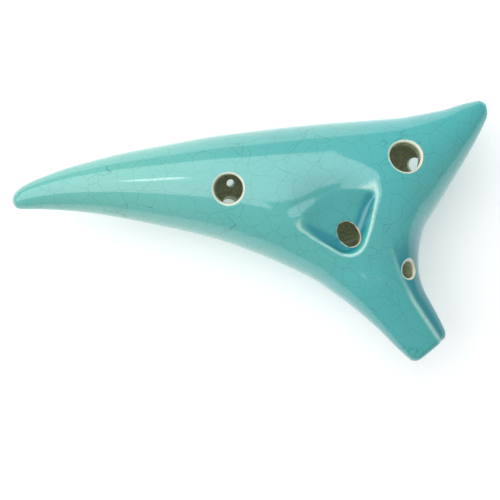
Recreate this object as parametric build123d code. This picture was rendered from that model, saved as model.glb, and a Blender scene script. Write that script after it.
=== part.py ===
from build123d import *
import os
from math import cos, sin, pi, radians, hypot, atan2, degrees

os.makedirs("parts", exist_ok=True)

# Twelve-hole transverse ocarina in alto C, press-moulded stoneware.
# Model frame, millimetres: +X runs from the tail tip to the head tip, +Y from the
# mouthpiece side to the far edge, +Z from the finger side to the thumb side.
# The ocarina lies on its finger side. The parting plane of the two moulded shells is
# level, and is z = 0 while the parts are drawn; the whole set is lifted at the end.

# ---------------------------------------------------------------- driving dimensions
THUMB_HOLE_RIGHT_D = 11.0      # thumb hole of the right hand, on the tail side
THUMB_HOLE_LEFT_D = 12.0       # thumb hole of the left hand, near the head
WINDOW_LENGTH = 10.2           # voicing window, along the windway
WINDOW_WIDTH = 7.6
WINDWAY_ENTRY = (11.0, 4.0)    # width and height at the lips
WINDWAY_EXIT = (7.6, 1.6)      # width and height at the window
SLOT_CORNER = 0.3              # corner radius of the windway, in units of its height
STRAP_HOLE_R = 3.0
MOUTH_ROUNDING = 2.4           # rounded lip of the mouthpiece end
SCOOP_APEX_R = 4.6             # rounded corner of the fan-shaped scoop
SCOOP_OPENING = 80.0           # degrees between the two arms of the scoop
SCOOP_REACH = 31.0             # from the corner of the scoop to its crest
SCOOP_DRAFT = 22.0             # lean of the scoop's side walls
SCOOP_HEIGHT = 16.0            # tall enough for the scoop to clear the dome
BLOCK_DEPTH = 6.6              # thickness of the voicing block under its ramp
LABIUM_EDGE = 0.7              # thickness left at the labium's edge
LABIUM_SLOPE = 34.0            # degrees between the ramp and the labium's underside
UNDERCUT_SPARE = 1.0           # undercut on each side of the window's width
SHOULDER = 2.5                 # how far the voicing block reaches under the wall
COIL_HEIGHT = 5.0              # luting coil that backs the seam of the two shells
COIL_THICKNESS = 2.2

# Horn stations, tail to head: x, far edge y, mouthpiece-side edge y,
# height of the thumb side, depth of the finger side.
HORN = [
    (-0.4, -0.1, -1.9, 1.0, 1.0),
    (1.0, 2.2, -4.0, 3.1, 3.1),
    (4.0, 4.1, -4.9, 4.6, 4.6),
    (10.0, 5.9, -6.1, 6.2, 6.3),
    (26.0, 8.4, -10.3, 9.6, 10.0),
    (50.0, 9.7, -19.4, 14.2, 15.4),
    (75.0, 9.6, -30.6, 18.4, 20.4),
    (100.0, 8.2, -45.0, 21.4, 24.2),
    (125.0, 6.0, -55.0, 22.4, 24.8),
    (143.0, 3.9, -53.0, 20.8, 22.0),
    (158.0, 2.5, -38.2, 16.4, 17.2),
    (170.0, 2.5, -25.2, 11.8, 12.4),
    (180.0, 3.4, -13.8, 7.2, 7.6),
    (185.5, 3.5, -6.8, 4.0, 4.2),
    (187.7, 1.9, -3.0, 2.0, 2.0),
]

# Chamber stations, in the same order: the hollow ends in a round web before the neck.
CHAMBER = [
    (9.0, 2.6, -2.6, 2.6, 2.7),
    (12.0, 3.4, -3.6, 3.4, 3.6),
    (26.0, 4.4, -6.4, 5.2, 5.6),
    (50.0, 5.0, -14.4, 9.2, 10.2),
    (75.0, 4.6, -25.4, 13.0, 14.8),
    (100.0, 3.2, -38.8, 16.0, 18.4),
    (122.0, 1.2, -45.0, 17.0, 19.0),
    (140.0, -0.8, -42.4, 15.6, 16.8),
    (156.0, -2.2, -31.4, 11.4, 12.2),
    (168.0, -2.4, -19.6, 7.0, 7.6),
    (175.0, -1.6, -12.4, 4.2, 4.6),
    (177.5, -2.8, -8.2, 2.4, 2.6),
]

# The neck runs from the centre of the lips back into the horn.
LIPS = Vector(149.1, -88.4)
NECK_DIRECTION = Vector(-0.42, 0.9075)
# Neck stations: distance from the lips, left edge, right edge, height of the middle,
# half thickness on the thumb side, half thickness on the finger side.
NECK = [
    (-0.6, -7.2, 6.9, 7.4, 5.2, 5.2),
    (8.0, -10.6, 9.2, 6.6, 7.4, 7.8),
    (19.0, -12.5, 10.7, 5.0, 10.6, 12.0),
    (28.0, -14.7, 13.4, 3.4, 13.6, 15.2),
    (34.5, -16.4, 17.8, 1.8, 16.0, 17.4),
    (41.0, -18.6, 23.6, 0.8, 17.6, 19.0),
    (50.0, -22.2, 21.5, 0.0, 18.6, 20.4),
    (60.0, -27.4, 14.0, 0.0, 16.5, 18.0),
    (70.0, -30.5, -2.0, 0.0, 9.0, 10.0),
]
# Cross-section at the lips, in units of its half width and half thickness: a flat
# thumb side that breaks at a crease into a sloping facet on the right. Towards the
# horn it turns into a plain ellipse.
LIP_PROFILE = [
    (1.0, 0.0), (0.94, 0.38), (0.74, 0.71), (0.46, 0.94), (0.12, 1.0), (-0.30, 1.0),
    (-0.66, 0.88), (-0.91, 0.54), (-1.0, 0.0), (-0.90, -0.56), (-0.56, -0.89),
    (0.0, -1.0), (0.56, -0.89), (0.90, -0.56),
]
ELLIPSE_FROM = 46.0            # distance from the lips where the neck is an ellipse
MOUTHPIECE_LENGTH = 24.0       # lips to the joint with the shells
# The windway's axis, as distances from the lips and heights: it starts in front of
# the lips and ends inside the window.
WINDWAY_START = -6.0
WINDWAY_START_Z = 6.8
WINDWAY_END = 52.0
WINDWAY_END_Z = 14.4

WINDOW_CENTRE = Vector(125.0, -38.2)
WINDOW_BOTTOM_Z = 2.0          # the window's cut starts inside the chamber
WINDOW_TOP_Z = 32.0
SCOOP_APEX = Vector(124.4, -43.3)
SCOOP_HEADING = 102.0          # degrees, from +X
RAMP_FOOT_Z = 15.2             # height of the ramp at the corner of the scoop
RAMP_CREST_Z = 21.4            # height of the ramp where it runs out into the dome
RAMP_RISE = (RAMP_CREST_Z - RAMP_FOOT_Z) / SCOOP_REACH

# Holes on the thumb side: x, y, diameter.
THUMB_HOLES = [
    (83.2, -12.6, THUMB_HOLE_RIGHT_D),
    (151.9, -13.0, THUMB_HOLE_LEFT_D),
]
# Holes on the finger side: right hand from the little finger inwards with its two
# small neighbours, then left hand from the index to the little finger.
FINGER_HOLES = [
    (40.5, -4.5, 5.2),
    (53.5, -6.0, 7.4),
    (67.5, -10.5, 8.2),
    (81.6, -18.7, 6.6),
    (70.5, -3.0, 3.4),
    (83.8, -8.2, 3.2),
    (107.0, -6.0, 8.4),
    (125.0, -7.5, 9.0),
    (142.0, -9.5, 8.0),
    (159.1, -16.0, 6.0),
]
STRAP_MOUTH_BACK = (31.2, 11.0, 13.6)     # along the neck, across it, height
STRAP_MOUTH_FRONT = (31.2, 12.0, -9.0)
STRAP_ELBOW = (31.2, 3.6, 6.2)            # where the two drillings meet
STRAP_OVERSHOOT = 12.0                    # drilling past the skin

BIG = 400.0
DRILL_REACH = 16.0             # length of a hole's cutter
DRILL_INSIDE = 0.6             # share of that length under the skin
SECTION_POINTS = 16
HORN_SECTIONS = 34
CHAMBER_SECTIONS = 26
NECK_SECTIONS = 18
END_CROWDING = 0.8             # how strongly sections gather at both ends of a loft


# ---------------------------------------------------------------- helpers
def horn_section(x, far, near, up, down):
    """Closed section across X: two half ellipses that share one width."""
    middle = (far + near) / 2
    half = (far - near) / 2
    points = []
    for i in range(SECTION_POINTS):
        turn = 2 * pi * i / SECTION_POINTS
        height = up if sin(turn) > 0 else down
        points.append(Vector(x, middle + half * cos(turn), height * sin(turn)))
    return Wire([Edge.make_spline(points, periodic=True)])


def slopes(xs, ys):
    """Tangents that keep a curve through hand-set stations free of overshoot."""
    steps = [(ys[i + 1] - ys[i]) / (xs[i + 1] - xs[i]) for i in range(len(xs) - 1)]
    inner = []
    for before, after in zip(steps, steps[1:]):
        inner.append(0 if before * after <= 0 else 2 * before * after / (before + after))
    return [steps[0]] + inner + [steps[-1]]


def between(stations, x):
    """A station at any x, on smooth curves through the given ones."""
    xs = [station[0] for station in stations]
    i = max(k for k in range(len(xs) - 1) if xs[k] <= x + 1e-9)
    width = xs[i + 1] - xs[i]
    t = (x - xs[i]) / width
    row = [x]
    for column in range(1, len(stations[0])):
        ys = [station[column] for station in stations]
        tangent = slopes(xs, ys)
        row.append(
            (2 * t**3 - 3 * t**2 + 1) * ys[i]
            + (t**3 - 2 * t**2 + t) * width * tangent[i]
            + (3 * t**2 - 2 * t**3) * ys[i + 1]
            + (t**3 - t**2) * width * tangent[i + 1]
        )
    return row


def spaced(stations, count, crowding):
    """Evenly flowing stations, closer together towards both ends."""
    first = stations[0][0]
    length = stations[-1][0] - first
    rows = []
    for i in range(count):
        u = i / (count - 1)
        eased = u - crowding * sin(2 * pi * u) / (2 * pi)
        rows.append(between(stations, first + length * eased))
    return rows


def loft_stations(stations, count):
    rows = spaced(stations, count, END_CROWDING)
    return Solid.make_loft([horn_section(*row) for row in rows])


def neck_point(along, across, height):
    """A point from the neck's own distances: from the lips, to the right, up."""
    x = LIPS.X + NECK_DIRECTION.X * along + NECK_DIRECTION.Y * across
    y = LIPS.Y + NECK_DIRECTION.Y * along - NECK_DIRECTION.X * across
    return Vector(x, y, height)


def neck_section(along, left, right, middle, up, down):
    points = []
    ease = min(1.0, max(0.0, along / ELLIPSE_FROM))
    for across, height in LIP_PROFILE:
        rounding = 1 + ease * (1 / hypot(across, height) - 1)
        across, height = across * rounding, height * rounding
        offset = (left + right) / 2 + across * (right - left) / 2
        rise = height * (up if height > 0 else down)
        points.append(neck_point(along, offset, middle + rise))
    return Wire([Edge.make_spline(points, periodic=True)])


def neck_plane(along, level, side):
    """Plane across the neck. Its normal points to the horn, or to the lips for side -1."""
    return Plane(
        origin=neck_point(along, 0, level),
        x_dir=(NECK_DIRECTION.Y * side, -NECK_DIRECTION.X * side, 0),
        z_dir=(NECK_DIRECTION.X * side, NECK_DIRECTION.Y * side, 0),
    )


def rounded_slot(along, width, height, level):
    """Rounded rectangle across the windway, at one distance from the lips."""
    slot = RectangleRounded(width, height, height * SLOT_CORNER)
    return neck_plane(along, level, 1) * slot


def half_space(plane):
    """Everything on the normal's side of a plane."""
    return plane * Box(BIG, BIG, BIG, align=(Align.CENTER, Align.CENTER, Align.MIN))


def only_solid(shape):
    """The largest solid of a cut, which drops slivers."""
    return max(shape.solids(), key=lambda solid: solid.volume)


def drilling(skin, x, y, side, diameter):
    """A round cutter square to the skin at a hole's mouth. Side is +1 on the thumb side."""
    hits = skin.find_intersection_points(Axis((x, y, 0), (0, 0, side)))
    point, normal = max(hits, key=lambda hit: side * hit[0].Z)
    if normal.Z * side < 0:
        normal = -normal
    start = point - normal * (DRILL_REACH * DRILL_INSIDE)
    return Plane(origin=start, z_dir=normal) * Cylinder(
        diameter / 2, DRILL_REACH, align=(Align.CENTER, Align.CENTER, Align.MIN)
    )


def strap_drilling(start, end):
    """A round cutter from one point past another."""
    direction = (end - start).normalized()
    length = (end - start).length + STRAP_OVERSHOOT
    return Plane(origin=start, z_dir=direction) * Cylinder(
        STRAP_HOLE_R, length, align=(Align.CENTER, Align.CENTER, Align.MIN)
    )


# ---------------------------------------------------------------- outer form and hollows
def outer_skin():
    """The horn with its neck, solid, with a rounded lip."""
    neck = Solid.make_loft([neck_section(*row) for row in spaced(NECK, NECK_SECTIONS, 0.0)])
    skin = only_solid(loft_stations(HORN, HORN_SECTIONS) + neck)
    lips = neck_point(NECK[0][0], 0, NECK[0][3])
    end = min(skin.faces(), key=lambda face: (face.center() - lips).length)
    return only_solid(skin.fillet(MOUTH_ROUNDING, end.edges()))


def windway():
    """The flat tapering air channel, from the lips to the window."""
    sections = [
        rounded_slot(WINDWAY_START, *WINDWAY_ENTRY, WINDWAY_START_Z),
        rounded_slot(WINDWAY_END, *WINDWAY_EXIT, WINDWAY_END_Z),
    ]
    return loft(sections, ruled=True)


def window_cutter():
    """Oval hole of the window, long along the windway."""
    turn = degrees(atan2(NECK_DIRECTION.Y, NECK_DIRECTION.X))
    oval = Rot(0, 0, turn) * Ellipse(WINDOW_LENGTH / 2, WINDOW_WIDTH / 2)
    start = Pos(WINDOW_CENTRE.X, WINDOW_CENTRE.Y, WINDOW_BOTTOM_Z)
    return extrude(start * oval, WINDOW_TOP_Z - WINDOW_BOTTOM_Z)


def scoop_axes(rise):
    """Direction from the corner to the crest, with its rise, and the one across it."""
    heading = radians(SCOOP_HEADING)
    forward = Vector(cos(heading), sin(heading), rise).normalized()
    return forward, Vector(sin(heading), -cos(heading), 0)


def ramp_plane():
    """Floor of the scoop, with its normal up."""
    forward, across = scoop_axes(RAMP_RISE)
    return Plane(
        origin=(SCOOP_APEX.X, SCOOP_APEX.Y, RAMP_FOOT_Z),
        x_dir=across,
        z_dir=across.cross(forward),
    )


def scoop_outline(margin):
    """Fan seen along the ramp's normal: rounded corner at the window, arc at the crest."""
    half = radians(SCOOP_OPENING / 2)
    corner = Vector(0, -margin / sin(half) - SCOOP_APEX_R * (1 / sin(half) - 1))
    reach = SCOOP_REACH + margin - corner.Y
    right = corner + Vector(sin(half), cos(half)) * reach
    left = corner + Vector(-sin(half), cos(half)) * reach
    top = corner + Vector(0, reach)
    outline = Polyline(left, corner, right) + ThreePointArc(right, top, left)
    fan = make_face(outline)
    apex = fan.vertices().sort_by(Axis.Y)[0]
    return fillet(apex, SCOOP_APEX_R + margin)


def scoop_cutter():
    """The air above the ramp, with leaning side walls."""
    return extrude(ramp_plane() * scoop_outline(0), SCOOP_HEIGHT, taper=-SCOOP_DRAFT)


def labium_undercut():
    """Wedge taken out under the ramp, so that the air meets a thin edge."""
    forward, across = scoop_axes(0)
    edge = WINDOW_CENTRE + NECK_DIRECTION * (WINDOW_LENGTH / 2)
    run = (edge - SCOOP_APEX).dot(forward)
    level = RAMP_FOOT_Z + run * RAMP_RISE - LABIUM_EDGE
    climb = degrees(atan2(RAMP_RISE, 1))
    slope = forward.rotate(Axis((0, 0, 0), across), climb - LABIUM_SLOPE)
    underside = Plane(origin=(edge.X, edge.Y, level), x_dir=across, z_dir=slope.cross(across))
    width = WINDOW_WIDTH + 2 * UNDERCUT_SPARE
    align = (Align.CENTER, Align.CENTER, Align.MIN)
    return underside * Box(width, 2 * BLOCK_DEPTH, BLOCK_DEPTH, align=align)


def strap_tunnel():
    """Two drillings that meet inside the web beside the neck."""
    elbow = neck_point(*STRAP_ELBOW)
    legs = []
    for mouth in (STRAP_MOUTH_BACK, STRAP_MOUTH_FRONT):
        legs.append(strap_drilling(elbow, neck_point(*mouth)))
    return legs[0] + legs[1] + Pos(elbow.X, elbow.Y, elbow.Z) * Sphere(STRAP_HOLE_R)


# ---------------------------------------------------------------- the pieces
def voicing_block(skin, chamber):
    """Ramp and labium: a wedge let into the thumb-side shell behind the window."""
    plug = extrude(ramp_plane() * scoop_outline(0), -BLOCK_DEPTH)
    foot = extrude(ramp_plane() * scoop_outline(SHOULDER), -BLOCK_DEPTH) & chamber
    block = (skin & plug) + foot
    return only_solid(block - window_cutter() - windway() - labium_undercut())


def shell_blank(skin):
    """The horn without its mouthpiece."""
    return skin & half_space(neck_plane(MOUTHPIECE_LENGTH, 0, 1))


def back_shell(blank, chamber, block, cutters):
    """Thumb-side half of the body."""
    half = blank & half_space(Plane.XY)
    shell = half - chamber - block
    for cutter in cutters:
        shell = shell - cutter
    return only_solid(shell)


def front_shell(blank, chamber, cutters):
    """Finger-side half of the body."""
    shell = (blank & half_space(Plane.XY.rotated((180, 0, 0)))) - chamber
    for cutter in cutters:
        shell = shell - cutter
    return only_solid(shell)


def mouthpiece(skin, side):
    """One half of the mouthpiece: side +1 is the windway's roof, -1 its floor."""
    slope = (WINDWAY_END_Z - WINDWAY_START_Z) / (WINDWAY_END - WINDWAY_START)
    forward = Vector(NECK_DIRECTION.X, NECK_DIRECTION.Y, slope).normalized()
    across = Vector(NECK_DIRECTION.Y, -NECK_DIRECTION.X, 0)
    middle = Plane(
        origin=neck_point(WINDWAY_START, 0, WINDWAY_START_Z),
        x_dir=across,
        z_dir=across.cross(forward) * side,
    )
    end = half_space(neck_plane(MOUTHPIECE_LENGTH, 0, -1))
    return only_solid((skin & end & half_space(middle)) - windway())


def seam_coil(chamber):
    """Ring of clay pressed into the inside of the seam, clear of both pointed ends."""
    core = []
    for x, far, near, up, down in CHAMBER[2:-2]:
        core.append((x, far - COIL_THICKNESS, near + COIL_THICKNESS, up, down))
    slab = Box(BIG, BIG, COIL_HEIGHT)
    ring = (chamber & slab) - loft_stations(core, CHAMBER_SECTIONS)
    return only_solid(ring)


def build():
    skin = outer_skin()
    chamber = loft_stations(CHAMBER, CHAMBER_SECTIONS)
    block = voicing_block(skin, chamber)
    blank = shell_blank(skin)
    thumb = [drilling(skin, x, y, 1, size) for x, y, size in THUMB_HOLES]
    finger = [drilling(skin, x, y, -1, size) for x, y, size in FINGER_HOLES]
    tunnel = strap_tunnel()
    back_cutters = [scoop_cutter(), window_cutter(), windway(), tunnel] + thumb
    return {
        "back_shell": back_shell(blank, chamber, block, back_cutters),
        "front_shell": front_shell(blank, chamber, [tunnel] + finger),
        "voicing_block": block,
        "windway_roof": mouthpiece(skin, 1),
        "windway_floor": mouthpiece(skin, -1),
        "seam_coil": seam_coil(chamber),
    }


pieces = build()
box = Compound(list(pieces.values())).bounding_box()
foot = Vector((box.min.X + box.max.X) / 2, (box.min.Y + box.max.Y) / 2, box.min.Z)
for name, piece in pieces.items():
    export_step(Pos(-foot.X, -foot.Y, -foot.Z) * piece, f"parts/{name}.step")
print("origin", foot, "size", box.size)
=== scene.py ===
from math import cos, radians, sin

import bmesh
import bpy
import numpy as np
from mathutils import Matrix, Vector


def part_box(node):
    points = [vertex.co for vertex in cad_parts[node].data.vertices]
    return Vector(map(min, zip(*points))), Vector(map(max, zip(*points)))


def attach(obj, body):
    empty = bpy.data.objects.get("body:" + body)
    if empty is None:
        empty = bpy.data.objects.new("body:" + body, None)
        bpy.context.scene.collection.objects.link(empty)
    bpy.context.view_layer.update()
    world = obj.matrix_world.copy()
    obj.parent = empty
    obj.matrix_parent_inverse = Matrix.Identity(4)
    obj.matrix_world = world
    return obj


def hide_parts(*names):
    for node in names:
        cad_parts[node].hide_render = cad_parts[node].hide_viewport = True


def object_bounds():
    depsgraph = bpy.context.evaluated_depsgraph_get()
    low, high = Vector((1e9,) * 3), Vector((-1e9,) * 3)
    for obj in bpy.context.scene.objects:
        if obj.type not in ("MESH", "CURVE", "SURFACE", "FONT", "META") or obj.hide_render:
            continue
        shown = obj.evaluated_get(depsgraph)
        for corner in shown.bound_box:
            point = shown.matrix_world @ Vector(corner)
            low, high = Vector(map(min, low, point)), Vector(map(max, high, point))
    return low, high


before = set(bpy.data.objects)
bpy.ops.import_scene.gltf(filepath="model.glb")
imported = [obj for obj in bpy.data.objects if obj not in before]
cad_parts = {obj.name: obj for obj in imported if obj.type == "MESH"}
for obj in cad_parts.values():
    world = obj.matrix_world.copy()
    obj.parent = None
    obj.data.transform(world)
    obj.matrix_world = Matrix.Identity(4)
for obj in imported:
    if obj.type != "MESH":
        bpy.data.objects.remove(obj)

import openvdb
from mathutils import Vector

cad_low, cad_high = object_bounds()

# The form is worked out in millimetres in the drawing frame: x from the tail tip to the
# head tip, y from the mouthpiece to the far edge, z from the finger side to the thumb
# side, with the parting plane at z = 0. Meshes are then set down in the row frame.
MM = 0.001                      # metres in a millimetre
GRID = 0.55                     # spacing of the field that the skin is drawn from
GRID_LOW = (-4.0, -96.0, -28.0)
GRID_HIGH = (192.0, 14.0, 26.0)
BAND = 3.0                      # distance from the surface past which the drawn field is level
LEAST_SLOPE = 0.15              # keeps a field's scaling finite where the field is level

# x, far edge y, mouthpiece-side edge y, height of the thumb side, depth of the finger side
HORN = [
    (-0.5, 0.7, -2.7, 1.7, 1.7),
    (1.0, 2.4, -4.1, 3.2, 3.2),
    (4.0, 4.1, -4.9, 4.6, 4.6),
    (10.0, 5.9, -6.1, 6.2, 6.3),
    (26.0, 8.4, -10.3, 9.6, 10.0),
    (50.0, 9.7, -19.4, 14.2, 15.4),
    (75.0, 9.6, -30.6, 18.4, 20.4),
    (100.0, 8.2, -45.0, 21.4, 24.2),
    (125.0, 6.0, -55.0, 22.4, 24.8),
    (143.0, 3.9, -53.0, 20.8, 22.0),
    (158.0, 2.5, -38.2, 16.4, 17.2),
    (170.0, 2.5, -25.2, 11.8, 12.4),
    (180.0, 3.4, -13.8, 7.2, 7.6),
    (185.5, 3.5, -6.8, 4.0, 4.2),
    (188.2, 2.0, -2.9, 2.0, 2.0),
]
CHAMBER = [
    (9.0, 2.6, -2.6, 2.6, 2.7),
    (12.0, 3.4, -3.6, 3.4, 3.6),
    (26.0, 4.4, -6.4, 5.2, 5.6),
    (50.0, 5.0, -14.4, 9.2, 10.2),
    (75.0, 4.6, -25.4, 13.0, 14.8),
    (100.0, 3.2, -38.8, 16.0, 18.4),
    (122.0, 1.2, -45.0, 17.0, 19.0),
    (140.0, -0.8, -42.4, 15.6, 16.8),
    (156.0, -2.2, -31.4, 11.4, 12.2),
    (168.0, -2.4, -19.6, 7.0, 7.6),
    (175.0, -1.6, -12.4, 4.2, 4.6),
    (177.5, -2.8, -8.2, 2.4, 2.6),
]
# distance from the lips, left edge, right edge, middle z, half thickness up and down,
# and how square the section is (2 is an ellipse)
NECK = [
    (-3.0, -8.0, 6.9, 7.6, 5.0, 5.0, 2.7),
    (0.0, -8.9, 7.5, 7.4, 5.4, 5.4, 2.7),
    (8.0, -10.7, 9.1, 6.6, 7.4, 7.8, 2.6),
    (19.0, -12.5, 10.6, 5.0, 10.4, 12.0, 2.4),
    (28.0, -14.6, 12.0, 3.4, 13.2, 15.0, 2.2),
    (34.5, -16.4, 13.0, 2.2, 15.2, 17.2, 2.1),
    (41.0, -18.6, 14.0, 1.0, 16.6, 18.6, 2.0),
    (50.0, -21.4, 15.0, 0.2, 17.2, 19.6, 2.0),
    (60.0, -25.2, 12.0, 0.0, 16.0, 17.6, 2.0),
    (72.0, -28.0, -4.0, 0.0, 9.0, 10.0, 2.0),
]
LIPS = np.array([149.1, -88.4])             # middle of the mouthpiece's end
NECK_DIRECTION = np.array([-0.42, 0.9075])  # from the lips to the body
LIP_NORMAL = np.array([0.48, -0.877])       # the way that the mouthpiece's end faces
LIP_REACH = -0.6               # how far that end lies past LIPS
LIP_ROUNDING = 2.6
HORN_ROUNDING = 0.9            # of the horn's two tips
CHAMBER_ROUNDING = 1.5         # of the chamber's two ends
NECK_BLEND_LEFT = 5.0          # fillet between neck and horn on the tail side
NECK_BLEND_RIGHT = 13.5        # and in the bay towards the head
NECK_BLEND_HALF = 12           # distance from the neck's middle at which each is reached
# the facet along the neck: its crease, as distance from the lips and across the neck
FACET_CREASE = [(-3.0, 3.2), (20.0, 3.8), (33.0, 5.8), (47.0, 10.2)]
FACET_TILT = radians(40.0)
FACET_ROUNDING = 1.4
MOUTHPIECE_LENGTH = 24.0

# width, height and level of the windway at its start and at its end
WINDWAY_ENTRY = (11.0, 4.0, 6.8)
WINDWAY_EXIT = (7.6, 1.6, 14.4)
WINDWAY_START, WINDWAY_END = -6.0, 52.0     # distance from the lips, along the neck
WINDWAY_CORNER = 0.3           # its corners' radius as a share of its height
WINDOW = np.array([125.0, -38.2])
WINDOW_SIZE = (10.2, 7.6)      # along the neck and across it
WINDOW_BOTTOM = 4.0            # level that the window is cut down to
SCOOP_APEX = np.array([124.4, -43.3])
SCOOP_HEADING = radians(102.0)
SCOOP_HALF = radians(40.0)     # half the angle between the scoop's arms
SCOOP_CORNER = 4.6             # radius of the corner where the arms meet
SCOOP_DRAFT = radians(28.0)
SCOOP_DISH = 0.004             # how much the floor rises towards the sides
SCOOP_END_DISH = 0.006         # how much more it rises where the arms end
END_DISH_SPAN = (11.0, 20.0)   # distance up the ramp over which that comes in
RAMP_FOOT = 15.2               # level of the ramp at the scoop's apex
RAMP_SLOPE = 0.2
BLOCK_DEPTH = 6.6              # thickness of the clay under the ramp
SHOULDER = 2.5                 # how far that clay reaches past the scoop's arms
LABIUM_EDGE = 0.7              # thickness of the edge that splits the air
LABIUM_SLOPE = radians(34.0)
UNDERCUT_MARGIN = 1            # how far the undercut runs past the window and the block

# x, y, diameter
THUMB_HOLES = [(83.2, -12.6, 11.0), (151.9, -13.0, 12.0)]
FINGER_HOLES = [
    (40.5, -4.5, 5.2), (53.5, -6.0, 7.4), (67.5, -10.5, 8.2), (81.6, -18.7, 6.6),
    (70.5, -3.0, 3.4), (83.8, -8.2, 3.2),
    (107.0, -6.0, 8.4), (125.0, -7.5, 9.0), (142.0, -9.5, 8.0), (159.1, -16.0, 6.0),
]
HOLE_DEPTH = 14                # far enough to reach the chamber
NORMAL_STEP = 1.5              # reach of the differences that give the skin's direction
# distance from the lips, across the neck, height
STRAP_MOUTH_BACK = (31.2, 11.0, 13.6)
STRAP_MOUTH_FRONT = (31.2, 12.0, -9.0)
STRAP_ELBOW = (31.2, 3.6, 6.2)
STRAP_HOLE_R = 3.0

# roundings of the edges that the cuts leave
SCOOP_EDGE = 1.3
ARM_END_EDGE = 2.5             # added to the scoop's where its arms run out
ARM_END_SPAN = (16, 24)        # distance up the ramp over which that comes in
HOLE_EDGE = 1.0
WINDOW_EDGE = 0.6
CHAMBER_EDGE = 0.5
WINDWAY_EDGE = 0.4


# ---------------------------------------------------------------- curves and fields
def slopes(xs, ys):
    """Tangents at the stations, level where the values turn round."""
    steps = np.diff(ys) / np.diff(xs)
    inner = []
    for before, after in zip(steps, steps[1:]):
        inner.append(0 if before * after <= 0 else 2 * before * after / (before + after))
    return np.array([steps[0], *inner, steps[-1]])


def between(stations, x):
    """Columns of a station table on smooth curves, for an array of places."""
    table = np.array(stations)
    xs = table[:, 0]
    x = np.clip(x, xs[0], xs[-1])
    i = np.clip(np.searchsorted(xs, x, side="right") - 1, 0, len(xs) - 2)
    width = (xs[1:] - xs[:-1])[i]
    t = (x - xs[i]) / width
    columns = []
    for column in table.T[1:]:
        tangent = slopes(xs, column)
        columns.append(
            (2 * t**3 - 3 * t**2 + 1) * column[i]
            + (t**3 - 2 * t**2 + t) * width * tangent[i]
            + (3 * t**2 - 2 * t**3) * column[i + 1]
            + (t**3 - t**2) * width * tangent[i + 1]
        )
    return columns


def axes():
    """Coordinates of the grid's points, shaped so that they combine into a field."""
    grids = []
    for low, high in zip(GRID_LOW, GRID_HIGH):
        grids.append(np.arange(low, high + GRID / 2, GRID, dtype=np.float32))
    x, y, z = grids
    return x[:, None, None], y[None, :, None], z[None, None, :]


X, Y, Z = axes()


def gradient(field):
    return np.gradient(field, GRID)


def distance(field):
    """Scales a field so that it reads as a distance near its surface."""
    gx, gy, gz = gradient(field)
    steep = np.sqrt(gx * gx + gy * gy + gz * gz)
    return (field / np.maximum(steep, LEAST_SLOPE)).astype(np.float32)


def join(a, b, radius):
    """Union with a fillet."""
    near = np.hypot(np.maximum(radius - a, 0), np.maximum(radius - b, 0))
    return (np.maximum(radius, np.minimum(a, b)) - near).astype(np.float32)


def common(a, b, radius):
    """Intersection with a rounded edge."""
    near = np.hypot(np.maximum(a + radius, 0), np.maximum(b + radius, 0))
    return (np.minimum(-radius, np.maximum(a, b)) + near).astype(np.float32)


def cut(a, b, radius):
    """Difference with a rounded edge."""
    return common(a, -b, radius)


def smoothstep(low, high, value):
    """0 up to low and 1 from high, eased in between."""
    t = np.clip((value - low) / (high - low), 0, 1)
    return t * t * (3 - 2 * t)


def from_point(origin, direction):
    """Distance from a point, measured along a direction."""
    return (
        (X - origin[0]) * direction[0]
        + (Y - origin[1]) * direction[1]
        + (Z - origin[2]) * direction[2]
    )


def tapered_form(stations, end_rounding):
    """Horn or chamber: elliptical sections across X."""
    far, near, up, down = between(stations, X)
    middle, half = (far + near) / 2, (far - near) / 2
    height = np.where(Z > 0, up, down)
    u, w = (Y - middle) / half, Z / height
    radial = np.sqrt(u * u + w * w)
    steep = np.sqrt((u / half) ** 2 + (w / height) ** 2) + 1e-4
    field = radial * (radial - 1) / steep
    ends = np.maximum(stations[0][0] - X, X - stations[-1][0])
    return common(distance(field), ends + 0 * field, end_rounding)


ALONG = (X - LIPS[0]) * NECK_DIRECTION[0] + (Y - LIPS[1]) * NECK_DIRECTION[1]
ACROSS = (X - LIPS[0]) * NECK_DIRECTION[1] - (Y - LIPS[1]) * NECK_DIRECTION[0]


def past_crease():
    """Distance across the neck from the crease, above 0 on the facet."""
    return ACROSS - np.interp(ALONG, *zip(*FACET_CREASE))


def neck_form():
    """Neck and mouthpiece: squarish sections across ALONG, with a facet."""
    left, right, middle, up, down, power = between(NECK, ALONG)
    offset, half = (left + right) / 2, (right - left) / 2
    height = np.where(Z > middle, up, down)
    u, w = np.abs(ACROSS - offset) / half, np.abs(Z - middle) / height
    radial = (u**power + w**power + 1e-6) ** (1 / power)
    field = distance((radial - 1) * np.minimum(half, height))
    facet = past_crease() * sin(FACET_TILT) + (Z - middle - up) * cos(FACET_TILT)
    field = common(field, facet + 0 * field, FACET_ROUNDING)
    lips = (X - LIPS[0]) * LIP_NORMAL[0] + (Y - LIPS[1]) * LIP_NORMAL[1] - LIP_REACH
    deep = ALONG - NECK[-1][0]
    return common(field, np.maximum(lips, deep) + 0 * field, LIP_ROUNDING)


def body_form():
    share = smoothstep(-NECK_BLEND_HALF, NECK_BLEND_HALF, ACROSS)
    blend = NECK_BLEND_LEFT + (NECK_BLEND_RIGHT - NECK_BLEND_LEFT) * share
    return join(tapered_form(HORN, HORN_ROUNDING), neck_form(), blend)


# ---------------------------------------------------------------- hollows
def sample(field, points):
    """Trilinear reading of a field at points in the drawing frame."""
    where = (points - np.array(GRID_LOW)) / GRID
    top = np.array(field.shape) - 2
    cell = np.clip(np.floor(where).astype(int), 0, top)
    part = np.clip(where - cell, 0, 1)
    total = np.zeros(len(points))
    for corner in np.ndindex(2, 2, 2):
        weight = np.prod(np.where(corner, part, 1 - part), axis=1)
        i, j, k = (cell + corner).T
        total += weight * field[i, j, k]
    return total


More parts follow.
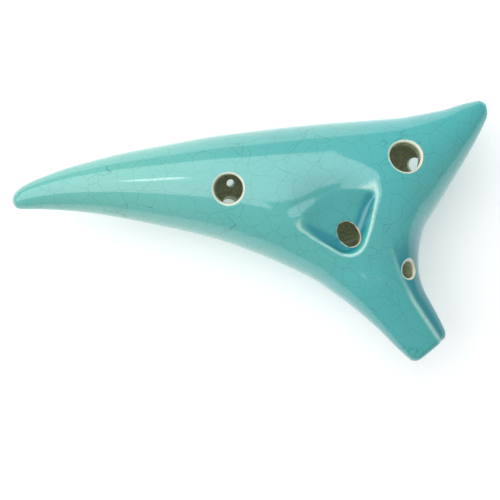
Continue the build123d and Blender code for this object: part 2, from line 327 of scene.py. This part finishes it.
def skin_point(body, x, y, side):
    """Where the skin lies over or under a place, and its outward direction."""
    levels = Z.ravel()
    column = sample(body, np.array([(x, y, z) for z in levels]))
    crossings = np.nonzero((column[1:] < 0) != (column[:-1] < 0))[0]
    i = crossings[-1] if side > 0 else crossings[0]
    z = levels[i] + GRID * column[i] / (column[i] - column[i + 1])
    point = np.array([x, y, z])
    steps = np.eye(3) * NORMAL_STEP
    normal = np.array([sample(body, np.array([point + d, point - d])) @ (1, -1) for d in steps])
    return point, normal / np.linalg.norm(normal)


def drilling(body, x, y, side, diameter):
    """A round hole square to the skin, open outwards and HOLE_DEPTH deep."""
    point, normal = skin_point(body, x, y, side)
    reach = from_point(point, normal)
    squared = (X - point[0]) ** 2 + (Y - point[1]) ** 2 + (Z - point[2]) ** 2
    radial = np.sqrt(np.maximum(squared - reach**2, 0)) - diameter / 2
    return np.maximum(radial, -reach - HOLE_DEPTH).astype(np.float32)


def ramp_axes():
    """Across the ramp, up along it and square to it, as unit vectors."""
    along = np.array([cos(SCOOP_HEADING), sin(SCOOP_HEADING), RAMP_SLOPE])
    along = along / np.linalg.norm(along)
    across = np.array([sin(SCOOP_HEADING), -cos(SCOOP_HEADING), 0.0])
    return across, along, np.cross(across, along)


APEX = np.array([*SCOOP_APEX, RAMP_FOOT])
RAMP_U, RAMP_V, RAMP_W = (from_point(APEX, axis) for axis in ramp_axes())


def fan_walls(margin, draft):
    """Distance outside the fan's two arms, which meet in a round corner."""
    across = np.abs(RAMP_U)
    along = RAMP_V - SCOOP_CORNER
    side = across * cos(SCOOP_HALF) - along * sin(SCOOP_HALF)
    tip = np.hypot(across, along)
    behind = across * sin(SCOOP_HALF) + along * cos(SCOOP_HALF) < 0
    walls = np.where(behind, tip, side) - (SCOOP_CORNER + margin)
    return (walls - np.maximum(RAMP_W, 0) * sin(draft)) * cos(draft)


def scoop_parts():
    """The fan between the arms and the space over the dished ramp, each less than 0 inside."""
    dish = SCOOP_DISH + SCOOP_END_DISH * smoothstep(*END_DISH_SPAN, RAMP_V)
    floor = -(RAMP_W - dish * RAMP_U**2)
    return fan_walls(0.0, SCOOP_DRAFT), floor.astype(np.float32)


def window_form():
    """Oval hole through the ramp, long along the windway."""
    dx, dy = X - WINDOW[0], Y - WINDOW[1]
    along = (dx * NECK_DIRECTION[0] + dy * NECK_DIRECTION[1]) / (WINDOW_SIZE[0] / 2)
    across = (dx * NECK_DIRECTION[1] - dy * NECK_DIRECTION[0]) / (WINDOW_SIZE[1] / 2)
    oval = distance((np.hypot(along, across) - 1) * WINDOW_SIZE[1] / 2 + 0 * Z)
    return np.maximum(oval, WINDOW_BOTTOM - Z).astype(np.float32)


def windway_form():
    """Flat air passage that narrows from the lips to the window."""
    share = np.clip((ALONG - WINDWAY_START) / (WINDWAY_END - WINDWAY_START), 0, 1)
    width, height, level = (a + (b - a) * share for a, b in zip(WINDWAY_ENTRY, WINDWAY_EXIT))
    corner = WINDWAY_CORNER * height
    dt = np.abs(ACROSS) - width / 2 + corner
    dz = np.abs(Z - level) - height / 2 + corner
    slot = np.hypot(np.maximum(dt, 0), np.maximum(dz, 0)) + np.minimum(np.maximum(dt, dz), 0) - corner
    return np.maximum(slot, ALONG - WINDWAY_END).astype(np.float32)


def neck_point(along, across, height):
    """A place on the neck, in the drawing frame."""
    side = np.array([NECK_DIRECTION[1], -NECK_DIRECTION[0]])
    return np.array([*(LIPS + NECK_DIRECTION * along + side * across), height])


def strap_tunnel():
    """Two drillings that meet inside the web beside the neck."""
    elbow = neck_point(*STRAP_ELBOW)
    legs = []
    for mouth in (STRAP_MOUTH_BACK, STRAP_MOUTH_FRONT):
        way = neck_point(*mouth) - elbow
        way = way / np.linalg.norm(way)
        reach = np.maximum(from_point(elbow, way), 0)
        off = [g - e - w * reach for g, e, w in zip((X, Y, Z), elbow, way)]
        legs.append(np.sqrt(off[0] ** 2 + off[1] ** 2 + off[2] ** 2) - STRAP_HOLE_R)
    return np.minimum(*legs).astype(np.float32)


def labium_undercut():
    """Wedge under the ramp's edge at the window."""
    across, along, square = ramp_axes()
    edge = np.array([*(WINDOW + NECK_DIRECTION * WINDOW_SIZE[0] / 2), 0])
    edge[2] = RAMP_FOOT + (edge - APEX)[:2] @ along[:2] * RAMP_SLOPE - LABIUM_EDGE
    down = square * cos(LABIUM_SLOPE) + along * sin(LABIUM_SLOPE)
    under = from_point(edge, down)
    width = np.abs(from_point(edge, across)) - WINDOW_SIZE[1] / 2 - UNDERCUT_MARGIN
    return np.maximum(np.maximum(under, width), np.abs(from_point(edge, along)) - BLOCK_DEPTH)


def hollow_out(outer, holes, tunnel, window, ramp_floor):
    """Cuts the holes, the chamber, the windway and the labium's undercut."""
    clay = outer
    for hole in (*holes, tunnel):
        clay = cut(clay, hole, HOLE_EDGE)
    clay = cut(clay, window, WINDOW_EDGE)
    pad = np.maximum(np.maximum(fan_walls(SHOULDER, 0), RAMP_W), -BLOCK_DEPTH - RAMP_W)
    chamber = cut(tapered_form(CHAMBER, CHAMBER_ROUNDING), pad, CHAMBER_EDGE)
    clay = cut(clay, chamber, CHAMBER_EDGE)
    clay = cut(clay, windway_form(), WINDWAY_EDGE)
    within = np.maximum(LABIUM_EDGE - ramp_floor, -BLOCK_DEPTH - UNDERCUT_MARGIN - RAMP_W)
    return np.maximum(clay, -np.maximum(labium_undercut(), within))


POOL_RADIUS = 5.0              # how far glaze pools out of the corner of the scoop
WINDOW_RING = 0.5              # how much narrower the cream ring is at the window
ARM_SKEW = 0.1                 # makes the rim's colours run out sooner on one arm


def build_fields():
    """The clay as one field, and the fields that the colours are read from."""
    body = body_form()
    walls, floor = scoop_parts()
    scoop = common(walls, floor, SCOOP_EDGE)
    outer = cut(body, scoop, SCOOP_EDGE + ARM_END_EDGE * smoothstep(*ARM_END_SPAN, RAMP_V))
    holes = [drilling(body, x, y, 1, size) for x, y, size in THUMB_HOLES]
    holes += [drilling(body, x, y, -1, size) for x, y, size in FINGER_HOLES]
    tunnel, window = strap_tunnel(), window_form()
    return {
        "clay": hollow_out(outer, holes, tunnel, window, floor),
        "depth": -outer,
        "hole": np.minimum(np.minimum.reduce([*holes, tunnel]), window + WINDOW_RING),
        "rim": np.minimum(-body, scoop),
        "sunk": -body,
        "reach": RAMP_V - ARM_SKEW * RAMP_U,
        "facet": (past_crease() + 0 * Z).astype(np.float32),
        "along": (ALONG + 0 * Z).astype(np.float32),
        "pool": common(walls, floor, POOL_RADIUS) - np.maximum(walls, floor),
    }


# ---------------------------------------------------------------- pieces
FIELDS = build_fields()
SLOPE = gradient(FIELDS["clay"])
SEAM_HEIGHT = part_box("front_shell")[1].z
FOOT = np.array([93.65, -40.8845, -SEAM_HEIGHT / MM])   # the row frame's origin, as drawn
SETTLING_ROUNDS = 3
SETTLING_SLOPE = 0.5           # least slope that a point is moved by
CAP = 1                        # which of a piece's materials its cut faces wear


def to_row(points):
    return (points - FOOT) * MM


def slope_at(points):
    return np.stack([sample(g, points) for g in SLOPE], axis=1)


def outward(points):
    normal = slope_at(points)
    return normal / np.maximum(np.linalg.norm(normal, axis=1), 1e-6)[:, None]


def settle(points):
    """Moves points onto the clay's surface."""
    for _ in range(SETTLING_ROUNDS):
        slope = slope_at(points)
        value = sample(FIELDS["clay"], points)
        steep = np.maximum((slope * slope).sum(axis=1), SETTLING_SLOPE**2)
        points = points - slope * (np.clip(value, -GRID, GRID) / steep)[:, None]
    return points


def draw_surface():
    """The whole clay body as points and quads, in the drawing frame."""
    grid = openvdb.FloatGrid(BAND)
    grid.copyFromArray(np.clip(FIELDS["clay"], -BAND, BAND).astype(np.float32))
    points, quads = grid.convertToQuads(isovalue=0.0)
    points = points * GRID + np.array(GRID_LOW)
    return settle(points.astype(float)), quads[:, ::-1]


def new_mesh(name, points, faces):
    """A mesh of faces that all have as many corners."""
    mesh = bpy.data.meshes.new(name)
    mesh.vertices.add(len(points))
    mesh.vertices.foreach_set("co", points.ravel())
    mesh.loops.add(faces.size)
    mesh.loops.foreach_set("vertex_index", faces.ravel().astype(np.int32))
    mesh.polygons.add(len(faces))
    starts = np.arange(0, faces.size, faces.shape[1], dtype=np.int32)
    mesh.polygons.foreach_set("loop_start", starts)
    mesh.update(calc_edges=True)
    mesh.validate()
    return mesh


def keep_side(form, point, normal):
    """Cuts a mesh at a plane, keeps the side its normal points to and closes the cut."""
    geometry = form.verts[:] + form.edges[:] + form.faces[:]
    made = bmesh.ops.bisect_plane(
        form, geom=geometry, plane_co=point, plane_no=normal, clear_inner=True, dist=1e-4
    )
    rim = [g for g in made["geom_cut"] if isinstance(g, bmesh.types.BMEdge)]
    caps = bmesh.ops.triangle_fill(form, edges=rim, use_beauty=True, normal=-normal)
    for g in caps["geom"]:
        if isinstance(g, bmesh.types.BMFace):
            g.material_index = CAP


def split(whole, planes):
    """A copy of a mesh, cut at planes that are each given by a point and a normal."""
    form = bmesh.new()
    form.from_mesh(whole)
    for point, normal in planes:
        keep_side(form, Vector(point), Vector(normal))
    bmesh.ops.recalc_face_normals(form, faces=form.faces[:])
    mesh = bpy.data.meshes.new("part")
    form.to_mesh(mesh)
    form.free()
    return mesh


def read(items, key, width=1, kind=float):
    """One property of a mesh's vertices, loops or faces, as an array."""
    values = np.empty(len(items) * width, dtype=kind)
    items.foreach_get(key, values)
    return values.reshape(-1, width) if width > 1 else values


def loop_normals(mesh, points):
    """The clay's own normals at the corners of the skin, and flat ones on the cut faces."""
    smooth = outward(points)[read(mesh.loops, "vertex_index", kind=np.int32)]
    sizes = read(mesh.polygons, "loop_total", kind=np.int32)
    flat = np.repeat(read(mesh.polygons, "normal", 3), sizes, axis=0)
    on_cap = np.repeat(read(mesh.polygons, "material_index", kind=np.int32), sizes) == CAP
    return np.where(on_cap[:, None], flat, smooth)


def finish_piece(mesh, name, nodes, materials):
    """Gives a piece its masks, normals and materials, and its place in the row frame."""
    points = read(mesh.vertices, "co", 3)
    for key, value in colour_masks(points).items():
        layer = mesh.attributes.new(key, "FLOAT", "POINT")
        layer.data.foreach_set("value", value.astype(np.float32))
    normals = loop_normals(mesh, points)
    mesh.vertices.foreach_set("co", to_row(points).ravel())
    mesh.polygons.foreach_set("use_smooth", [True] * len(mesh.polygons))
    mesh.normals_split_custom_set(normals)
    for material in materials:
        mesh.materials.append(material)
    mesh.name = name
    piece = bpy.data.objects.new(name, mesh)
    bpy.context.scene.collection.objects.link(piece)
    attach(piece, "root")
    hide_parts(*nodes)


# Each mask goes from 0 to 1, or from 1 to 0, over a span of a field in millimetres.
BARE_SPAN = (0.8, 1.5)         # depth under the outside: glazed, then bare
RING_SPAN = (0.5, 1.3)         # distance from a hole's wall: cream, then turquoise
RIM_SPAN = (0.06, 0.30)        # how far the rim's rounding lies inside both its faces
SUNK_SPAN = (0.3, 1.7)         # depth under the body as it was before the scoop, over which painted shade deepens the teal
POOL_SPAN = (0.05, 1.0)        # closeness to the corner between walls and floor
POOL_DEPTH_SPAN = (0.9, 2.0)   # depth from which glaze pools in that corner
ARM_SPAN = (17.0, 20.5)        # distance up the ramp where rim and pool run out
THUMB_SPAN = (2.0, 5.0)        # height over the parting plane from which the facet shows
NECK_SPAN = (34, 46)           # distance from the lips where the facet's painted highlight and painted shade run out
FACET_SHADE_SPAN = (0.6, 2.0)        # distance from the crease: plain, then painted shade in deep teal
HIGHLIGHT_LINE_SPAN = (20, 28)           # distance from the lips where the painted highlight line weakens
HIGHLIGHT_LINE_WEAK = 0.35
HIGHLIGHT_LINE_MIDDLE, HIGHLIGHT_LINE_WIDTH = 0.7, 0.8          # of the painted highlight line, from the crease


def colour_masks(points):
    """How bare, ringed, pale, pooled or sunk the glaze is at each point, from 0 to 1. Pale holds thin
    glaze and painted highlight, pool holds pooled glaze and painted shade, and sunk is painted shade.
    """
    keys = ("depth", "hole", "rim", "pool", "sunk", "reach", "facet", "along")
    depth, hole, rim, pool, sunk, reach, facet, along = (
        sample(FIELDS[key], points) for key in keys
    )
    bare = smoothstep(*BARE_SPAN, depth)
    glazed = 1 - bare
    ring = (1 - smoothstep(*RING_SPAN, np.maximum(hole, 0))) * glazed
    arms = 1 - smoothstep(*ARM_SPAN, reach)
    # pale on the scoop's rims: partly glaze thinned on the edges, partly painted highlight
    rims = smoothstep(*RIM_SPAN, rim) * arms * glazed
    corner = smoothstep(*POOL_SPAN, pool) * smoothstep(*POOL_DEPTH_SPAN, sunk) * arms * glazed
    thumb_side = smoothstep(*THUMB_SPAN, points[:, 2])
    neck = (1 - smoothstep(*NECK_SPAN, along)) * thumb_side * glazed
    # painted highlight: a pale line along the neck's crease, at the facet's edge
    line = np.exp(-((facet - HIGHLIGHT_LINE_MIDDLE) / HIGHLIGHT_LINE_WIDTH) ** 2) * neck
    line = line * (HIGHLIGHT_LINE_WEAK + (1 - HIGHLIGHT_LINE_WEAK) * (1 - smoothstep(*HIGHLIGHT_LINE_SPAN, along)))
    return {
        "bare": bare,
        "ring": ring,
        # pale: the scoop's rims, partly thin glaze and partly painted highlight, and the painted
        # highlight line on the neck
        "pale": np.maximum(rims, line),
        # pool: glaze pooled in the scoop's corner, and painted shade in deep teal on the neck's facet
        "pool": np.maximum(corner, smoothstep(*FACET_SHADE_SPAN, facet) * neck),
        # sunk: painted shade, deeper teal over the scoop and just inside the holes
        "sunk": smoothstep(*SUNK_SPAN, sunk) * glazed,
    }


# ---------------------------------------------------------------- materials
class Nodes:
    """A new material, with short calls that add and link its shader nodes."""

    def __init__(self, name):
        self.material = bpy.data.materials.new(name)
        self.material.use_nodes = True
        self.tree = self.material.node_tree
        self.shader = self.tree.nodes["Principled BSDF"]
        self.place = self.add("ShaderNodeTexCoord").outputs["Object"]

    def add(self, kind, inputs=None, **settings):
        node = self.tree.nodes.new(kind)
        for key, value in settings.items():
            setattr(node, key, value)
        for key, value in (inputs or {}).items():
            self.put(node.inputs[key], value)
        return node

    def put(self, socket, value):
        if isinstance(value, bpy.types.NodeSocket):
            self.tree.links.new(value, socket)
        else:
            socket.default_value = value

    def mask(self, name):
        return self.add("ShaderNodeAttribute", attribute_name=name).outputs["Fac"]

    def math(self, operation, *values):
        inputs = dict(enumerate(values))
        return self.add("ShaderNodeMath", inputs, operation=operation).outputs[0]

    def vector(self, operation, *values):
        inputs = dict(enumerate(values))
        return self.add("ShaderNodeVectorMath", inputs, operation=operation).outputs[0]

    def ramp(self, value, low, high):
        """0 at low and 1 at high, eased."""
        node = self.add(
            "ShaderNodeMapRange",
            {"Value": value, "From Min": low, "From Max": high},
            interpolation_type="SMOOTHSTEP",
        )
        return node.outputs["Result"]

    def mix(self, factor, a, b):
        node = self.add("ShaderNodeMix", data_type="RGBA")
        self.put(node.inputs["Factor"], factor)
        self.put(node.inputs[6], a)
        self.put(node.inputs[7], b)
        return node.outputs[2]

    def noise(self, scale, detail, output="Fac"):
        inputs = {"Vector": self.place, "Scale": scale, "Detail": detail}
        return self.add("ShaderNodeTexNoise", inputs).outputs[output]

    def bump(self, height, strength, depth):
        inputs = {"Height": height, "Strength": strength, "Distance": depth}
        bumps = self.add("ShaderNodeBump", inputs)
        self.put(self.shader.inputs["Normal"], bumps.outputs["Normal"])


def colour(red, green, blue):
    """An sRGB colour of 0 to 255 as linear light."""
    linear = []
    for channel in (red, green, blue):
        c = channel / 255
        linear.append(c / 12.92 if c <= 0.04045 else ((c + 0.055) / 1.055) ** 2.4)
    return (*linear, 1.0)


CLAY_DARK, CLAY_LIGHT = colour(122, 134, 106), colour(154, 160, 128)
CREAM_LIGHT, CREAM_DARK = colour(236, 240, 222), colour(214, 222, 200)
# deeper teal at the head end: partly the glaze's own colour, partly painted shade
TAIL_GLAZE, HEAD_GLAZE_AND_SHADE = colour(118, 200, 187), colour(76, 186, 188)
CLOUD_GLAZE, STREAK_GLAZE = colour(100, 188, 174), colour(72, 175, 176)
# deeper teal of the mouthpiece side, partly glaze and partly painted shade; deeper teal of sunk
# places, painted shade
LIP_SIDE_GLAZE_AND_SHADE, SUNK_SHADE_GLAZE = colour(68, 170, 170), colour(58, 160, 158)
# deep teal of pooled glaze, also used as painted shade on the neck's facet; pale of thin glaze, also
# used as painted highlight
POOL_AND_SHADE_GLAZE, PALE_AND_HIGHLIGHT_GLAZE = colour(20, 140, 156), colour(180, 231, 221)
CRACK_GLAZE = colour(40, 120, 118)
BLACK, WHITE = (0, 0, 0, 1), (1, 1, 1, 1)
# scale and detail of each noise
CLOUDS, STREAKS, PATCHES = (28.0, 4.0), (9.0, 2.0), (45.0, 2.0)
GRIT, CREAM_SPOTS, WAVES = (900.0, 4.0), (400.0, 2.0), (60.0, 2.0)
LIP_SIDE = (0.0, -0.03)        # y in the row frame over which the deeper teal of the mouthpiece side comes in, partly the glaze's own colour and partly painted shade
# cells in a metre, half width of a line and how far it wanders, in metres
WIDE_CRACKS = (140.0, 0.00013, 0.004)
FINE_CRACKS = (330.0, 0.00009, 0.0014)
WIDE_STRENGTH, FINE_STRENGTH = 0.42, 0.26
INSIDE_GLOW = 0.16             # stands in for daylight that comes in through every hole
FLOOR_GLOW = 0.30              # stands in for light that a pale room sends back


def crackle(n, cells_per_metre, width, wander):
    """Thin crack lines between cells, 1 on a line."""
    bend = n.noise(cells_per_metre * 0.9, 2.0, "Color")
    centred = n.vector("SUBTRACT", bend, (0.5, 0.5, 0.5))
    moved = n.vector("MULTIPLY_ADD", centred, (wander, wander, wander), n.place)
    cells = n.add(
        "ShaderNodeTexVoronoi",
        {"Vector": moved, "Scale": cells_per_metre, "Randomness": 0.95},
        feature="DISTANCE_TO_EDGE",
    )
    return n.ramp(cells.outputs["Distance"], width * cells_per_metre, 0.0)


def crack_lines(n):
    """Wide cracks everywhere, and fine faint ones in patches."""
    wide = n.math("MULTIPLY", crackle(n, *WIDE_CRACKS), WIDE_STRENGTH)
    patches = n.math("MULTIPLY", n.ramp(n.noise(*PATCHES), 0.40, 0.60), FINE_STRENGTH)
    return n.math("MAXIMUM", wide, n.math("MULTIPLY", crackle(n, *FINE_CRACKS), patches))


def glaze_colour(n):
    """Cloudy turquoise, deeper where it pools in the scoop's corner and paler where it thins on the
    rims. Painted shade deepens it on sunk places and the neck's facet, and partly towards the head
    and the mouthpiece side; painted highlight pales it on the rims and along the neck's crease.
    """
    where = n.add("ShaderNodeSeparateXYZ", {0: n.place})
    along = n.ramp(where.outputs["X"], cad_low.x, cad_high.x)
    covers = [
        (n.ramp(n.noise(*CLOUDS), 0.34, 0.68), 0.30, CLOUD_GLAZE),
        (n.ramp(n.noise(*STREAKS), 0.38, 0.64), 0.30, STREAK_GLAZE),
        # deeper towards the mouthpiece side: partly the glaze's own colour, partly painted shade
        (n.ramp(where.outputs["Y"], *LIP_SIDE), 0.50, LIP_SIDE_GLAZE_AND_SHADE),
        # painted shade: deeper teal over the scoop and just inside the holes
        (n.mask("sunk"), 0.45, SUNK_SHADE_GLAZE),
        # deep teal: glaze pooled in the scoop's corner, and painted shade on the neck's facet
        (n.mask("pool"), 0.85, POOL_AND_SHADE_GLAZE),
        # pale rims of thin glaze with painted highlight, and the painted highlight line on the neck
        (n.mask("pale"), 0.88, PALE_AND_HIGHLIGHT_GLAZE),
    ]
    # deeper towards the head: partly the glaze's own colour, partly painted shade
    base = n.mix(along, TAIL_GLAZE, HEAD_GLAZE_AND_SHADE)
    for cover, strength, shade in covers:
        base = n.mix(n.math("MULTIPLY", cover, strength), base, shade)
    return base


def glaze_material():
    """Turquoise crackle glaze, cream where it is thin, and bare clay inside."""
    n = Nodes("turquoise_crackle_glaze")
    lines, grit = crack_lines(n), n.noise(*GRIT)
    clay = n.mix(n.ramp(grit, 0.35, 0.7), CLAY_DARK, CLAY_LIGHT)
    cream = n.mix(n.ramp(n.noise(*CREAM_SPOTS), 0.3, 0.7), CREAM_LIGHT, CREAM_DARK)
    bare = n.ramp(n.mask("bare"), 0.3, 0.7)
    base = n.mix(lines, glaze_colour(n), CRACK_GLAZE)
    base = n.mix(n.ramp(n.mask("ring"), 0.25, 0.75), base, cream)
    n.put(n.shader.inputs["Base Color"], n.mix(bare, base, clay))
    n.put(n.shader.inputs["Emission Color"], n.mix(bare, BLACK, clay))
    n.shader.inputs["Emission Strength"].default_value = INSIDE_GLOW

    dry = n.math("MAXIMUM", bare, n.math("MULTIPLY", n.mask("ring"), 0.35))
    n.put(n.shader.inputs["Roughness"], n.math("MULTIPLY_ADD", dry, 0.62, 0.12))
    n.shader.inputs["IOR"].default_value = 1.6
    n.shader.inputs["Coat Weight"].default_value = 0.6
    n.shader.inputs["Coat Roughness"].default_value = 0.06

    gritty = n.math("MULTIPLY", grit, n.math("MULTIPLY", dry, 0.8))
    sunk_lines = n.math("MULTIPLY_ADD", lines, -0.3, gritty)
    waves = n.math("MULTIPLY", n.noise(*WAVES), 0.25)
    n.bump(n.math("ADD", sunk_lines, waves), 0.25, 0.0003)
    return n.material


def clay_material():
    """Bare olive-brown stoneware."""
    n = Nodes("bare_stoneware")
    grit = n.noise(*GRIT)
    n.put(n.shader.inputs["Base Color"], n.mix(grit, CLAY_DARK, CLAY_LIGHT))
    n.shader.inputs["Roughness"].default_value = 0.75
    n.bump(grit, 0.4, 0.0004)
    return n.material


def floor_material():
    """Pale matt studio floor with a little light of its own."""
    n = Nodes("pale_floor")
    shade = n.mix(n.noise(3.0, 3.0), (0.93, 0.93, 0.93, 1), (0.95, 0.95, 0.95, 1))
    n.put(n.shader.inputs["Base Color"], shade)
    n.shader.inputs["Roughness"].default_value = 0.6
    n.shader.inputs["Emission Color"].default_value = WHITE
    n.shader.inputs["Emission Strength"].default_value = FLOOR_GLOW
    return n.material


GLAZE, CLAY = glaze_material(), clay_material()


def make_pieces():
    """Splits the skin into the pieces that stand in for the clay nodes."""
    whole = new_mesh("whole", *draw_surface())
    away = (*NECK_DIRECTION, 0.0)
    joint = neck_point(MOUTHPIECE_LENGTH, 0, 0)
    slope = (WINDWAY_EXIT[2] - WINDWAY_ENTRY[2]) / (WINDWAY_END - WINDWAY_START)
    roof = np.cross((NECK_DIRECTION[1], -NECK_DIRECTION[0], 0), (*NECK_DIRECTION, slope))
    middle = neck_point(WINDWAY_START, 0, WINDWAY_ENTRY[2])
    toward = tuple(-v for v in away)
    seam = (0, 0, 0)
    plan = [
        ("back_shell_glazed", ["back_shell", "voicing_block"], [(joint, away), (seam, (0, 0, 1))]),
        ("front_shell_glazed", ["front_shell"], [(joint, away), (seam, (0, 0, -1))]),
        ("windway_roof_glazed", ["windway_roof"], [(joint, toward), (middle, tuple(roof))]),
        ("windway_floor_glazed", ["windway_floor"], [(joint, toward), (middle, tuple(-roof))]),
    ]
    for name, nodes, planes in plan:
        finish_piece(split(whole, planes), name, nodes, [GLAZE, CLAY])
    bpy.data.meshes.remove(whole)


make_pieces()
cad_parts["seam_coil"].data.materials.clear()
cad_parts["seam_coil"].data.materials.append(CLAY)


# ---------------------------------------------------------------- floor, light and camera
VIEW_CENTRE = Vector(to_row(np.array([86.96, -37.0, 0.0])))
VIEW_ROLL = radians(10.9)      # how far the horn's length climbs to the right in the view
VIEW_WIDTH = 0.19535           # metres across the picture, at the parting plane
LENS, SENSOR = 120.0, 36.0
FLOOR_SIZE = 6.0
FLOOR_GAP = 0.0002             # keeps the floor clear of the underside
SKY_STRENGTH = 0.38
# name, place, what it faces, size, power
SOFTBOXES = [
    ("canopy", (-1.050, 0.890, 1.0), (-1.050, 0.890, 0.0), (2.70, 2.02), 27.41),
    ("canopy_side", (-1.310, -0.210, 1.0), (-1.310, -0.210, 0.0), (2.18, 0.18), 1.97),
    ("streak", (-0.37, 0.39, 0.95), (-0.02, 0.0, 0.03), (0.16, 0.05), 0.16),
]


def studio_floor():
    bpy.ops.mesh.primitive_grid_add(x_subdivisions=8, y_subdivisions=8, size=FLOOR_SIZE)
    floor = bpy.context.object
    floor.name = "studio_floor"
    floor.location.z = -FLOOR_GAP
    floor.data.materials.append(floor_material())


def softbox(name, where, target, size, power):
    light = bpy.data.lights.new(name, "AREA")
    light.shape = "RECTANGLE"
    light.size, light.size_y = size
    light.energy = power
    lamp = bpy.data.objects.new(name, light)
    lamp.location = where
    lamp.rotation_euler = (Vector(target) - Vector(where)).to_track_quat("-Z", "Y").to_euler()
    bpy.context.scene.collection.objects.link(lamp)


def studio_light():
    world = bpy.data.worlds.new("studio")
    world.use_nodes = True
    background = world.node_tree.nodes["Background"]
    background.inputs["Color"].default_value = WHITE
    background.inputs["Strength"].default_value = SKY_STRENGTH
    bpy.context.scene.world = world
    for box in SOFTBOXES:
        softbox(*box)


def camera():
    """Looks straight down, turned so that the horn climbs to the right."""
    data = bpy.data.cameras.new("camera")
    data.lens, data.sensor_width = LENS, SENSOR
    eye = bpy.data.objects.new("camera", data)
    away = LENS / SENSOR * VIEW_WIDTH
    eye.location = VIEW_CENTRE + Vector((0, 0, away))
    eye.rotation_euler = (0, 0, -VIEW_ROLL)
    bpy.context.scene.collection.objects.link(eye)
    bpy.context.scene.camera = eye


studio_floor()
studio_light()
camera()
bpy.context.scene.view_settings.view_transform = "Standard"
